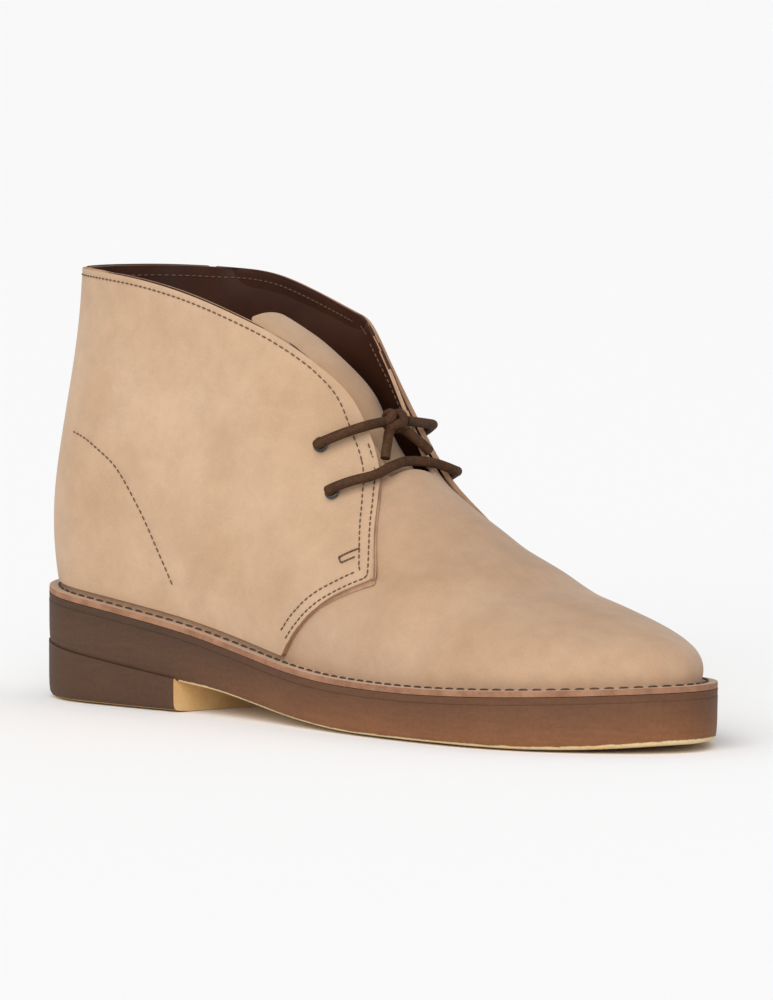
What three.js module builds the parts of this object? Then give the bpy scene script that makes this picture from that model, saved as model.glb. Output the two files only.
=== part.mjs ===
// Chukka boot for the left foot, standing empty on its crepe sole.
// Millimetres. +X runs to the toe, +Y to the outer (lateral) side, +Z up.
// The finished boot is centred over the origin and stands on Z = 0.

import * as THREE from 'three';
import { mergeVertices } from 'three/addons/utils/BufferGeometryUtils.js';

// Driving sizes of the shoe
const LENGTH = 300;          // sole, heel back to toe tip
const BALL_WIDTH = 106;      // sole across the ball of the foot
const HEEL_WIDTH = 75;       // sole across the seat
const COLLAR_HEIGHT = 152;   // floor to the collar at the back
const SEAT_HEIGHT = 38.5;    // floor to the top of the midsole at the back
const BALL_HEIGHT = 16;      // floor to the top of the midsole at the ball
const TOE_SPRING = 3.2;      // lift of the tread at the toe tip
const HEEL_LENGTH = 85;      // heel back to the breast

// Thicknesses of the materials
const MIDSOLE_THICKNESS = 3;
const INSOLE_THICKNESS = 2.6;
const LINING_WALL = 1.7;     // vamp and lining, the shell's wall
const QUARTER_WALL = 1.5;    // outer leather of the quarters
const TONGUE_WALL = 1.9;
const FLANGE_WIDTH = 5.5;    // stitched edge of the upper, outside the feather line
const FLANGE_THICKNESS = 2.1;
const LACE_DIAMETER = 3.5;

// Clearances
const GAP = 0.3;             // between pieces that lie on each other
const QUARTER_GAP = 0.4;     // quarters over the curved shell
const LACE_CLEARANCE = 1.3;  // lace over the curved facing edge
const BREAST_CLEARANCE = 3;  // from the heel's breast to the rib before it

// Edges
const TREAD_EDGE = 1.4;      // chamfer along the tread
const HEEL_BACK_EDGE = 2.2;  // lift of the heel's back edge

// Eyelets
const EYELET_RADIUS = 2.7;
const EYELET_HOLE = 1.25;
const EYELET_HEIGHT = 0.9;
const EYELET_SETBACK = 25.5; // from the facing edge to the lower eyelet's centre
const EYELET_LEAN = 4;       // the upper eyelet is set back by this much more

// Sole outline: half widths as shares of the ball width.
// at is a share of the length; the ends are closed by the round of heel and toe.
const OUTLINE = [
  { at: 0.000, medial: 0.354, lateral: 0.354 },
  { at: 0.125, medial: 0.354, lateral: 0.354 },
  { at: 0.200, medial: 0.350, lateral: 0.364 },
  { at: 0.300, medial: 0.335, lateral: 0.384 },
  { at: 0.400, medial: 0.350, lateral: 0.420 },
  { at: 0.500, medial: 0.395, lateral: 0.466 },
  { at: 0.600, medial: 0.440, lateral: 0.508 },
  { at: 0.690, medial: 0.463, lateral: 0.525 },
  { at: 0.785, medial: 0.458, lateral: 0.500 },
  { at: 0.860, medial: 0.436, lateral: 0.458 },
  { at: 0.920, medial: 0.404, lateral: 0.416 },
  { at: 1.000, medial: 0.330, lateral: 0.345 },
];
const HEEL_ROUND = 0.125;    // share of the length taken by the round of the heel
const TOE_ROUND = 0.215;     // share of the length taken by the round of the toe

// Top of the midsole: drop from the seat to the ball as a share of that drop.
const SOLE_TOP = [
  { at: 0.00, lift: 1.000 },
  { at: 0.14, lift: 0.815 },
  { at: 0.28, lift: 0.560 },
  { at: 0.42, lift: 0.235 },
  { at: 0.48, lift: 0.115 },
  { at: 0.55, lift: 0.030 },
  { at: 0.65, lift: 0.000 },
  { at: 0.73, lift: 0.010 },
  { at: 0.88, lift: 0.095 },
  { at: 1.00, lift: 0.190 },
];

// Underside of the outsole: arch as a share of the seat height, spring of the toe spring.
const SOLE_BOTTOM = [
  { at: 0.00, arch: 0.520, spring: 0 },
  { at: 0.28, arch: 0.265, spring: 0 },
  { at: 0.35, arch: 0.215, spring: 0 },
  { at: 0.42, arch: 0.135, spring: 0 },
  { at: 0.48, arch: 0.070, spring: 0 },
  { at: 0.54, arch: 0.025, spring: 0 },
  { at: 0.60, arch: 0.000, spring: 0 },
  { at: 0.86, arch: 0.000, spring: 0 },
  { at: 0.93, arch: 0.000, spring: 0.30 },
  { at: 1.00, arch: 0.000, spring: 1.00 },
];

// Top line of the last, where each rib of the upper ends: the collar, then the
// throat, then the ridge of the vamp. foot is the rib's place along the feather line,
// along a share of the length, side of the ball width, up of the collar height.
const TOP_MEDIAL = [
  { foot: 0.000, along: 0.046, side: 0.000, up: 1.000 },
  { foot: 0.062, along: 0.070, side: 0.175, up: 1.000 },
  { foot: 0.125, along: 0.134, side: 0.268, up: 0.997 },
  { foot: 0.200, along: 0.215, side: 0.302, up: 0.985 },
  { foot: 0.270, along: 0.295, side: 0.306, up: 0.958 },
  { foot: 0.330, along: 0.368, side: 0.285, up: 0.915 },
  { foot: 0.380, along: 0.433, side: 0.235, up: 0.858 },
  { foot: 0.420, along: 0.488, side: 0.155, up: 0.770 },
  { foot: 0.460, along: 0.518, side: 0.076, up: 0.682 },
  { foot: 0.500, along: 0.552, side: 0.000, up: 0.578 },
];
const TOP_LATERAL = [
  { foot: 0.000, along: 0.046, side: 0.000, up: 1.000 },
  { foot: 0.062, along: 0.070, side: 0.175, up: 1.000 },
  { foot: 0.125, along: 0.134, side: 0.268, up: 0.997 },
  { foot: 0.200, along: 0.210, side: 0.300, up: 0.987 },
  { foot: 0.270, along: 0.285, side: 0.292, up: 0.950 },
  { foot: 0.330, along: 0.355, side: 0.262, up: 0.912 },
  { foot: 0.380, along: 0.405, side: 0.212, up: 0.888 },
  { foot: 0.420, along: 0.458, side: 0.165, up: 0.802 },
  { foot: 0.460, along: 0.518, side: 0.076, up: 0.682 },
  { foot: 0.500, along: 0.552, side: 0.000, up: 0.578 },
];
const TOP_VAMP = [
  { foot: 0.560, along: 0.600, side: 0, up: 0.507 },
  { foot: 0.640, along: 0.658, side: 0, up: 0.440 },
  { foot: 0.720, along: 0.722, side: 0, up: 0.370 },
  { foot: 0.785, along: 0.768, side: 0, up: 0.334 },
  { foot: 0.890, along: 0.822, side: 0, up: 0.304 },
  { foot: 1.000, along: 0.862, side: 0, up: 0.288 },
];

// Fullness of the ribs. Each rib leaves the feather line up and out and reaches the
// top line across the ridge or down the collar. rise and fall are shares of the rib's
// height, out and across of its distance to the middle, swell of the ball width.
const FULLNESS = [
  { foot: 0.000, rise: 0.36, out: 0.085, across: 0.00, fall: 0.42, swell: 0.010 },
  { foot: 0.125, rise: 0.36, out: 0.075, across: 0.00, fall: 0.40, swell: 0.010 },
  { foot: 0.270, rise: 0.36, out: 0.055, across: 0.00, fall: 0.38, swell: 0.000 },
  { foot: 0.380, rise: 0.38, out: 0.045, across: 0.12, fall: 0.34, swell: 0.010 },
  { foot: 0.440, rise: 0.42, out: 0.045, across: 0.36, fall: 0.20, swell: 0.000 },
  { foot: 0.500, rise: 0.46, out: 0.050, across: 0.62, fall: 0.02, swell: 0.000 },
  { foot: 0.560, rise: 0.48, out: 0.055, across: 0.66, fall: 0.00, swell: 0.000 },
  { foot: 0.720, rise: 0.52, out: 0.060, across: 0.64, fall: 0.00, swell: 0.000 },
  { foot: 1.000, rise: 0.60, out: 0.040, across: 0.58, fall: 0.00, swell: 0.000 },
];

// Edge of the throat in the shell: foot is the rib, reach the share of the rib that
// is there before the opening starts.
const THROAT = [
  { foot: 0.000, reach: 1.00 },
  { foot: 0.400, reach: 1.00 },
  { foot: 0.440, reach: 0.97 },
  { foot: 0.500, reach: 0.86 },
  { foot: 0.600, reach: 0.84 },
  { foot: 1.000, reach: 0.84 },
];
const THROAT_FOOT = 0.5;     // rib at the bottom of the throat

// Front edge of the quarters: up is the share of the rib, the other columns the rib
// that it lies on at either side.
const QUARTER_FRONT = [
  { up: 0.00, medial: 0.458, lateral: 0.455 },
  { up: 0.12, medial: 0.487, lateral: 0.478 },
  { up: 0.24, medial: 0.521, lateral: 0.505 },
  { up: 0.36, medial: 0.565, lateral: 0.550 },
  { up: 0.44, medial: 0.597, lateral: 0.584 },
  { up: 0.52, medial: 0.581, lateral: 0.568 },
  { up: 0.64, medial: 0.546, lateral: 0.536 },
  { up: 0.76, medial: 0.513, lateral: 0.500 },
  { up: 0.88, medial: 0.477, lateral: 0.437 },
  { up: 1.00, medial: 0.430, lateral: 0.380 },
];
const FACING_CORNER = 0.44;  // share of the rib at the lower corner of the facing

// A smooth curve through a table's rows, read at x from the columns key and value.
function follow(rows, key, value, x) {
  const last = rows.length - 1;
  const here = THREE.MathUtils.clamp(x, rows[0][key], rows[last][key]);
  let i = 0;
  while (i < last - 1 && here > rows[i + 1][key]) i += 1;
  const span = rows[i + 1][key] - rows[i][key];
  const t = (here - rows[i][key]) / span;
  const slope = (k) => {
    const a = rows[Math.max(k - 1, 0)];
    const b = rows[Math.min(k + 1, last)];
    return (b[value] - a[value]) / (b[key] - a[key]);
  };
  const h00 = 2 * t ** 3 - 3 * t ** 2 + 1;
  const h10 = t ** 3 - 2 * t ** 2 + t;
  const h01 = 3 * t ** 2 - 2 * t ** 3;
  const h11 = t ** 3 - t ** 2;
  return h00 * rows[i][value] + h10 * span * slope(i)
    + h01 * rows[i + 1][value] + h11 * span * slope(i + 1);
}

const MEDIAL = { sign: -1, key: 'medial', top: [...TOP_MEDIAL, ...TOP_VAMP] };
const LATERAL = { sign: 1, key: 'lateral', top: [...TOP_LATERAL, ...TOP_VAMP] };

// Heights of the sole at a distance from the heel back
const soleTop = (x) => BALL_HEIGHT
  + (SEAT_HEIGHT - BALL_HEIGHT) * follow(SOLE_TOP, 'at', 'lift', x / LENGTH);
const soleBottom = (x) => Math.max(SEAT_HEIGHT * follow(SOLE_BOTTOM, 'at', 'arch', x / LENGTH), 0)
  + Math.max(TOE_SPRING * follow(SOLE_BOTTOM, 'at', 'spring', x / LENGTH), 0);

// Outline point of the sole at foot (0 heel back, 1 toe tip) on one side
function outline(side, foot) {
  const heelTurn = Math.min(foot / HEEL_ROUND, 1) * Math.PI / 2;
  const toeTurn = Math.min((1 - foot) / TOE_ROUND, 1) * Math.PI / 2;
  let at = foot;
  if (foot < HEEL_ROUND) at = HEEL_ROUND * (1 - Math.cos(heelTurn));
  if (foot > 1 - TOE_ROUND) at = 1 - TOE_ROUND + TOE_ROUND * Math.cos(toeTurn);
  const round = Math.sin(heelTurn) * Math.sin(toeTurn);
  const seat = HEEL_WIDTH / (2 * OUTLINE[0][side.key]);
  const width = THREE.MathUtils.lerp(seat, BALL_WIDTH, THREE.MathUtils.smoothstep(at, 0.1, 0.5));
  const half = width * follow(OUTLINE, 'at', side.key, at) * round;
  return new THREE.Vector2(at * LENGTH, side.sign * half);
}

// Outward direction of the outline at foot, level with the floor
function outward(side, foot) {
  const step = 0.001;
  if (foot <= step) return new THREE.Vector2(-1, 0);
  if (foot >= 1 - step) return new THREE.Vector2(1, 0);
  const run = outline(side, foot + step).sub(outline(side, foot - step)).normalize();
  return new THREE.Vector2(-run.y * side.sign, run.x * side.sign);
}

// Outline point moved inwards by a distance
function inset(side, foot, distance) {
  const point = outline(side, foot).addScaledVector(outward(side, foot), -distance);
  const pole = foot <= 0 || foot >= 1;
  if (pole || point.y * side.sign < 0) point.y = 0;
  return point;
}

// End of a rib on the top line
function ribTop(side, foot) {
  const rows = side.top;
  const half = foot > THROAT_FOOT ? 0 : follow(rows, 'foot', 'side', foot);
  return new THREE.Vector3(
    LENGTH * follow(rows, 'foot', 'along', foot),
    side.sign * BALL_WIDTH * Math.max(half, 0),
    COLLAR_HEIGHT * follow(rows, 'foot', 'up', foot),
  );
}

// Point of the last's skin: foot picks the rib, up runs along it from 0 to 1
function skin(side, foot, up) {
  const base = inset(side, foot, FLANGE_WIDTH);
  const top = ribTop(side, foot);
  const away = outward(side, foot);
  const read = (column) => follow(FULLNESS, 'foot', column, foot);
  const start = new THREE.Vector3(base.x, base.y, soleTop(base.x) + GAP + FLANGE_THICKNESS);
  const height = top.z - start.z;
  const reach = Math.hypot(base.x - top.x, base.y - top.y);
  const low = start.clone();
  low.x += away.x * BALL_WIDTH * read('out');
  low.y += away.y * BALL_WIDTH * read('out');
  low.z += height * read('rise');
  const toeTurn = Math.min((1 - foot) / TOE_ROUND, 1) * Math.PI / 2;
  const ahead = ribTop(side, Math.min(foot + 0.01, 1))
    .sub(ribTop(side, Math.min(foot, 0.99)))
    .setY(0)
    .normalize();
  const high = top.clone();
  high.y += side.sign * Math.sin(toeTurn) * reach * read('across');
  high.addScaledVector(ahead, Math.cos(toeTurn) * reach * read('across'));
  high.z -= height * read('fall');
  high.x += away.x * BALL_WIDTH * read('swell');
  high.y += away.y * BALL_WIDTH * read('swell');
  return new THREE.CubicBezierCurve3(start, low, high, top).getPoint(up);
}

// Outward direction of the skin
function skinNormal(side, foot, up) {
  const step = 0.002;
  const f0 = Math.max(foot - step, 0);
  const f1 = Math.min(foot + step, 1);
  const u0 = Math.max(up - step, 0);
  const u1 = Math.min(up + step, 1);
  const onRibs = skin(side, f1, up).sub(skin(side, f0, up));
  const alongRib = skin(side, foot, u1).sub(skin(side, foot, u0));
  const normal = onRibs.cross(alongRib).multiplyScalar(-side.sign);
  const onRidge = foot >= THROAT_FOOT && up >= 1;
  if (foot <= 0 || foot >= 1 || onRidge) normal.y = 0;
  return normal.normalize();
}

// Skin moved along its own normal
const offsetSkin = (side, foot, up, distance) => skin(side, foot, up)
  .addScaledVector(skinNormal(side, foot, up), distance);

// A closed wall from a sheet of points. front and back give the two faces of the
// sheet at a column and row; cells that are open are left out, and every free edge
// of the sheet is closed between the two faces.
function wall(columns, rows, front, back, open = () => false) {
  const points = [];
  const known = new Map();
  const ids = [];
  for (let i = 0; i <= columns; i += 1) {
    ids.push([]);
    for (let j = 0; j <= rows; j += 1) {
      const near = front(i, j);
      const name = near.toArray().map((value) => Math.round(value * 1000)).join(' ');
      if (!known.has(name)) {
        known.set(name, points.length);
        points.push({ near, far: back(i, j) });
      }
      ids[i].push(known.get(name));
    }
  }
  const faces = [];
  const addFace = (a, b, c) => {
    if (a !== b && b !== c && c !== a) faces.push([a, b, c]);
  };
  for (let i = 0; i < columns; i += 1) {
    for (let j = 0; j < rows; j += 1) {
      if (open(i, j)) continue;
      const [a, b, c, d] = [ids[i][j], ids[i][j + 1], ids[i + 1][j + 1], ids[i + 1][j]];
      const reach = (m, n) => points[m].near.distanceTo(points[n].near);
      if (reach(a, c) <= reach(b, d)) {
        addFace(a, c, d);
        addFace(a, b, c);
      } else {
        addFace(a, b, d);
        addFace(b, c, d);
      }
    }
  }
  const edges = new Set();
  for (const [a, b, c] of faces) {
    edges.add(`${a} ${b}`).add(`${b} ${c}`).add(`${c} ${a}`);
  }
  const total = points.length;
  const all = [];
  for (const [a, b, c] of faces) {
    all.push(a, b, c, a + total, c + total, b + total);
  }
  for (const edge of edges) {
    const [a, b] = edge.split(' ').map(Number);
    if (edges.has(`${b} ${a}`)) continue;
    all.push(b, a, a + total, b, a + total, b + total);
  }
  const geometry = new THREE.BufferGeometry();
  const places = [...points.map((p) => p.near), ...points.map((p) => p.far)];
  geometry.setFromPoints(places);
  geometry.setIndex(all);
  return mergeVertices(geometry, 1e-4);
}

// Evenly spread values, ends included
const spread = (from, to, count) => Array.from(
  { length: count + 1 },
  (_, i) => from + (to - from) * i / count,
);

// Ribs of one side, close together round the heel and the toe
const RIBS = [
  ...spread(0, HEEL_ROUND, 6),
  ...spread(HEEL_ROUND, THROAT_FOOT, 13).slice(1),
  ...spread(THROAT_FOOT, 1 - TOE_ROUND, 8).slice(1),
  ...spread(1 - TOE_ROUND, 1, 8).slice(1),
];

// Ribs all the way round: medial toe tip, heel back, lateral toe tip
const ROUND = [
  ...[...RIBS].reverse().map((foot) => ({ side: MEDIAL, foot })),
  ...RIBS.slice(1).map((foot) => ({ side: LATERAL, foot })),
];

// A slab with the outline of the sole. Each edge row holds how far the slab's side is
// set in at the top and bottom faces; trim is the inset of the whole outline.
function slab({ feet, top, bottom, trim = 0, edge = TREAD_EDGE }) {
  const across = [
    { side: MEDIAL, part: 1, rim: true },
    { side: MEDIAL, part: 1, rim: false },
    { side: LATERAL, part: 0, rim: false },
    { side: LATERAL, part: 1, rim: false },
    { side: LATERAL, part: 1, rim: true },
  ];
  const place = (i, j) => {
    const { side, part, rim } = across[i];
    const point = inset(side, feet[j], trim + (rim ? 0 : edge));
    return { x: point.x, y: point.y * part, rim };
  };
  const upper = (i, j) => {
    const { x, y } = place(i, j);
    return new THREE.Vector3(x, y, top(x));
  };
  const under = (i, j) => {
    const { x, y, rim } = place(i, j);
    return new THREE.Vector3(x, y, bottom(x) + (rim ? edge : 0));
  };
  return wall(across.length - 1, feet.length - 1, upper, under);
}

// The shell: the wall of vamp and lining, turned out at the feather line
const WALL_ROWS = 11;
const RIDGE_ROWS = 4;
const FLANGE_ROWS = 2;
function upperShell() {
  const rows = FLANGE_ROWS + WALL_ROWS + RIDGE_ROWS;
  const share = (foot, j) => {
    const reach = follow(THROAT, 'foot', 'reach', foot);
    const row = j - FLANGE_ROWS;
    if (row <= WALL_ROWS) return reach * row / WALL_ROWS;
    return reach + (1 - reach) * (row - WALL_ROWS) / RIDGE_ROWS;
  };
  const flange = (side, foot, j) => {
    const out = FLANGE_WIDTH * (1 - j / FLANGE_ROWS);
    return inset(side, foot, FLANGE_WIDTH - out);
  };
  const outside = (i, j) => {
    const { side, foot } = ROUND[i];
    if (j >= FLANGE_ROWS) return skin(side, foot, share(foot, j));
    const point = flange(side, foot, j);
    return new THREE.Vector3(point.x, point.y, soleTop(point.x) + GAP + FLANGE_THICKNESS);
  };
  const inside = (i, j) => {
    const { side, foot } = ROUND[i];
    if (j > FLANGE_ROWS) return offsetSkin(side, foot, share(foot, j), -LINING_WALL);
    const point = j === FLANGE_ROWS
      ? inset(side, foot, FLANGE_WIDTH + LINING_WALL)
      : flange(side, foot, j);
    return new THREE.Vector3(point.x, point.y, soleTop(point.x) + GAP);
  };
  const isThroat = (i, j) => {
    const behind = Math.min(ROUND[i].foot, ROUND[i + 1].foot) < THROAT_FOOT - 1e-6;
    return behind && j >= FLANGE_ROWS + WALL_ROWS;
  };
  return wall(ROUND.length - 1, rows, outside, inside, isThroat);
}

// The quarters: one outer layer round the heel, over the vamp at the front
const QUARTER_COLUMNS = 18;
function quarterPoint(side, part, up, distance) {
  const front = follow(QUARTER_FRONT, 'up', side.key, up);
  return offsetSkin(side, front * part, up, distance);
}
function quarters() {
  const ups = [
    0.02, 0.08, 0.16, 0.24, 0.31, 0.38, FACING_CORNER,
    0.50, 0.58, 0.67, 0.76, 0.85, 0.93, 1,
  ];
  const place = (distance) => (i, j) => {
    const part = Math.abs(i - QUARTER_COLUMNS) / QUARTER_COLUMNS;
    const side = i < QUARTER_COLUMNS ? MEDIAL : LATERAL;
    return quarterPoint(side, part, ups[j], distance);
  };
  return wall(2 * QUARTER_COLUMNS, ups.length - 1, place(QUARTER_GAP + QUARTER_WALL), place(QUARTER_GAP));
}

// The tongue: it starts under the vamp, follows the throat and leans back inside.
// along is a share of the length, up of the collar height, the rest of the ball width:
// half is the half width, sink how far the sides bend inwards, lean a shift sideways.
const TONGUE = [
  { row: 0.00, along: 0.605, up: 0.455, half: 0.195, sink: 0.110, lean: 0.000 },
  { row: 0.14, along: 0.556, up: 0.526, half: 0.215, sink: 0.160, lean: 0.000 },
  { row: 0.28, along: 0.518, up: 0.592, half: 0.215, sink: 0.180, lean: 0.000 },
  { row: 0.42, along: 0.486, up: 0.664, half: 0.205, sink: 0.165, lean: 0.000 },
  { row: 0.57, along: 0.456, up: 0.748, half: 0.204, sink: 0.120, lean: -0.010 },
  { row: 0.72, along: 0.418, up: 0.812, half: 0.184, sink: 0.090, lean: -0.030 },
  { row: 0.87, along: 0.376, up: 0.868, half: 0.145, sink: 0.050, lean: -0.055 },
  { row: 1.00, along: 0.340, up: 0.905, half: 0.070, sink: 0.012, lean: -0.075 },
];
const TONGUE_ROWS = 14;
const TONGUE_COLUMNS = 8;
function tonguePoint(across, row) {
  const read = (column) => follow(TONGUE, 'row', column, row);
  const centre = (at) => new THREE.Vector3(
    LENGTH * follow(TONGUE, 'row', 'along', at),
    BALL_WIDTH * follow(TONGUE, 'row', 'lean', at),
    COLLAR_HEIGHT * follow(TONGUE, 'row', 'up', at),
  );
  const run = centre(Math.min(row + 0.02, 1)).sub(centre(Math.max(row - 0.02, 0)));
  const face = new THREE.Vector3(run.z, 0, -run.x).normalize();
  const point = centre(row).addScaledVector(face, -BALL_WIDTH * read('sink') * across ** 2);
  point.y += BALL_WIDTH * read('half') * across;
  return point;
}
function tongue() {
  const step = 0.01;
  const outer = (i, j) => tonguePoint(2 * i / TONGUE_COLUMNS - 1, j / TONGUE_ROWS);
  const inner = (i, j) => {
    const across = 2 * i / TONGUE_COLUMNS - 1;
    const row = j / TONGUE_ROWS;
    const sideways = tonguePoint(across + step, row).sub(tonguePoint(across - step, row));
    const upwards = tonguePoint(across, Math.min(row + step, 1))
      .sub(tonguePoint(across, Math.max(row - step, 0)));
    const face = upwards.cross(sideways).normalize();
    return outer(i, j).addScaledVector(face, -TONGUE_WALL);
  };
  return wall(TONGUE_COLUMNS, TONGUE_ROWS, outer, inner);
}

// Eyelets sit on the quarters, set back from the facing edge. seat is the share of the
// rib at the eyelet, medial and lateral where its lace crosses the facing edge there.
const EYELET_ROWS = {
  lower: { seat: 0.612, medial: 0.772, lateral: 0.758, back: EYELET_SETBACK },
  upper: { seat: 0.735, medial: 0.915, lateral: 0.842, back: EYELET_SETBACK + EYELET_LEAN },
};
const EYELET_GAP = 0.6;      // under the flat ring on the curved leather
function eyeletSeat(side, { seat: up, back }) {
  const lift = QUARTER_GAP + QUARTER_WALL;
  const edge = quarterPoint(side, 1, up, lift);
  let near = 1;
  let far = 0.5;
  for (let i = 0; i < 20; i += 1) {
    const middle = (near + far) / 2;
    if (quarterPoint(side, middle, up, lift).distanceTo(edge) < back) near = middle;
    else far = middle;
  }
  const front = follow(QUARTER_FRONT, 'up', side.key, up);
  const point = quarterPoint(side, far, up, lift + EYELET_GAP);
  return { point, normal: skinNormal(side, front * far, up) };
}
function eyeletRing() {
  const lip = EYELET_HEIGHT * 0.4;
  const land = (EYELET_RADIUS - EYELET_HOLE) * 0.3;
  const profile = [
    [EYELET_HOLE, 0],
    [EYELET_RADIUS, 0],
    [EYELET_RADIUS, lip],
    [EYELET_RADIUS - land, EYELET_HEIGHT],
    [EYELET_HOLE + land, EYELET_HEIGHT],
    [EYELET_HOLE, lip],
    [EYELET_HOLE, 0],
  ];
  return new THREE.LatheGeometry(profile.map(([r, h]) => new THREE.Vector2(r, h)), 14);
}

// Round cord along hand-chosen points
const CORD_SIDES = 8;
function cord(points, steps) {
  const circle = new THREE.Shape(
    spread(0, 2 * Math.PI, CORD_SIDES).slice(1).map((turn) => new THREE.Vector2(
      Math.cos(turn) * LACE_DIAMETER / 2,
      Math.sin(turn) * LACE_DIAMETER / 2,
    )),
  );
  const path = new THREE.CatmullRomCurve3(points, false, 'centripetal');
  return new THREE.ExtrudeGeometry(circle, { steps, extrudePath: path, bevelEnabled: false });
}

// A lace bar leaves an eyelet, bends over the facing edge and crosses the throat
const LACE_RISE = EYELET_HEIGHT + LACE_DIAMETER * 0.75 + GAP;
const FACING_RISE = LACE_DIAMETER / 2 + LACE_CLEARANCE;
const FACING_LINE = 0.985;   // share of the quarter's run where the lace bends over
function barStart(side, row) {
  const { point, normal } = eyeletSeat(side, row);
  const edge = quarterPoint(side, FACING_LINE, row[side.key], QUARTER_GAP + QUARTER_WALL + FACING_RISE);
  const between = point.clone().lerp(edge, 0.5);
  return [
    point.addScaledVector(normal, LACE_RISE),
    between.addScaledVector(normal, LACE_RISE * 0.75),
    edge,
  ];
}

const MATERIALS = {
  crepe: { color: '#7a583f', roughness: 0.85, metalness: 0 },
  midsole: { color: '#5d4636', roughness: 0.85, metalness: 0 },
  insole: { color: '#8a6a4c', roughness: 0.8, metalness: 0 },
  nubuck: { color: '#ceab8c', roughness: 0.95, metalness: 0 },
  tongue: { color: '#b9987b', roughness: 0.95, metalness: 0 },
  eyelet: { color: '#4a4038', roughness: 0.4, metalness: 0.8 },
  lace: { color: '#3f2d1e', roughness: 0.7, metalness: 0 },
};

// The shoe is built from the heel back on its own axis, then centred over the origin
const widest = (side) => Math.max(...RIBS.map((foot) => Math.abs(outline(side, foot).y)));
const shoe = new THREE.Group();
shoe.position.set(-LENGTH / 2, (widest(MEDIAL) - widest(LATERAL)) / 2, 0);
const boot = new THREE.Group();
boot.add(shoe);
function add(name, geometry, finish, group = shoe) {
  const material = new THREE.MeshStandardMaterial(MATERIALS[finish]);
  const mesh = new THREE.Mesh(geometry, material);
  mesh.name = name;
  group.add(mesh);
  return mesh;
}

const heelFeet = RIBS.filter((foot) => foot * LENGTH < HEEL_LENGTH - BREAST_CLEARANCE)
  .concat(HEEL_LENGTH / LENGTH);
const HEEL_BEVEL = 14;       // length of the heel's lifted back edge
add('outsole', slab({
  feet: RIBS,
  top: (x) => soleTop(x) - MIDSOLE_THICKNESS - GAP,
  bottom: soleBottom,
}), 'crepe');
add('heel', slab({
  feet: heelFeet,
  top: (x) => soleBottom(x) - GAP,
  bottom: (x) => HEEL_BACK_EDGE * (1 - THREE.MathUtils.smoothstep(x, 0, HEEL_BEVEL)),
}), 'crepe');
add('midsole', slab({
  feet: RIBS,
  top: soleTop,
  bottom: (x) => soleTop(x) - MIDSOLE_THICKNESS,
  edge: 0.4,
}), 'midsole');
add('insole', slab({
  feet: RIBS,
  top: (x) => soleTop(x) + GAP + INSOLE_THICKNESS,
  bottom: (x) => soleTop(x) + GAP,
  trim: FLANGE_WIDTH + LINING_WALL + GAP,
  edge: 0.5,
}), 'insole');
add('upper', upperShell(), 'nubuck');
add('quarters', quarters(), 'nubuck');
add('tongue', tongue(), 'tongue');

for (const side of [MEDIAL, LATERAL]) {
  for (const [level, row] of Object.entries(EYELET_ROWS)) {
    const { point, normal } = eyeletSeat(side, row);
    const ring = add(`eyelet_${side.key}_${level}`, eyeletRing(), 'eyelet');
    ring.position.copy(point);
    ring.quaternion.setFromUnitVectors(new THREE.Vector3(0, 1, 0), normal);
  }
}

// The lower bar runs straight across, the upper one in two halves to the knot
const BAR_STEPS = 13;
const KNOT = new THREE.Vector3(LENGTH * 0.523, 0, COLLAR_HEIGHT * 0.682);
const KNOT_SIZE = new THREE.Vector3(5.2, 5.6, 3.9);
const lowerMiddle = new THREE.Vector3(LENGTH * 0.546, 0, COLLAR_HEIGHT * 0.597);
const lowerStarts = [MEDIAL, LATERAL].map((side) => barStart(side, EYELET_ROWS.lower));
add('lace_bar_lower', cord([
  ...lowerStarts[0],
  lowerMiddle,
  ...lowerStarts[1].reverse(),
], 2 * BAR_STEPS), 'lace');
for (const side of [MEDIAL, LATERAL]) {
  const end = KNOT.clone();
  end.y += side.sign * (KNOT_SIZE.y + LACE_DIAMETER / 4);
  const points = [...barStart(side, EYELET_ROWS.upper), end];
  add(`lace_bar_upper_${side.key}`, cord(points, BAR_STEPS), 'lace');
}
const knot = add('lace_knot', new THREE.SphereGeometry(1, 14, 8), 'lace');
knot.geometry.scale(...KNOT_SIZE.toArray());
knot.position.copy(KNOT);

// The two short ends come out of the knot and lie against the tongue. Their points are
// chosen by hand in the finished boot's own frame.
const LACE_ENDS = {
  medial: [
    [9.2, -8.2, 100.1], [11.5, -11.2, 97.0], [13.0, -13.4, 94.3], [13.8, -14.6, 91.7],
  ],
  lateral: [[8.9, 0.7, 100.0], [11.3, 3.4, 97.2], [12.7, 5.6, 95.0], [13.4, 7.4, 93.0]],
};
const END_STEPS = 8;
for (const [name, points] of Object.entries(LACE_ENDS)) {
  const route = points.map((point) => new THREE.Vector3(...point));
  add(`lace_end_${name}`, cord(route, END_STEPS), 'lace', boot);
}

export default boot;
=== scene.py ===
# %% [markdown]
# # A sand nubuck chukka boot on a crepe sole
#
# The frame is the imported model: every solid lies where the finished boot has it, in
# metres, toe towards +X and the outer side towards +Y. The script dresses that frame and
# loads it once.

import math

import bmesh
import bpy
from mathutils import Matrix, Vector
from mathutils.bvhtree import BVHTree
from mathutils.kdtree import KDTree


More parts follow.
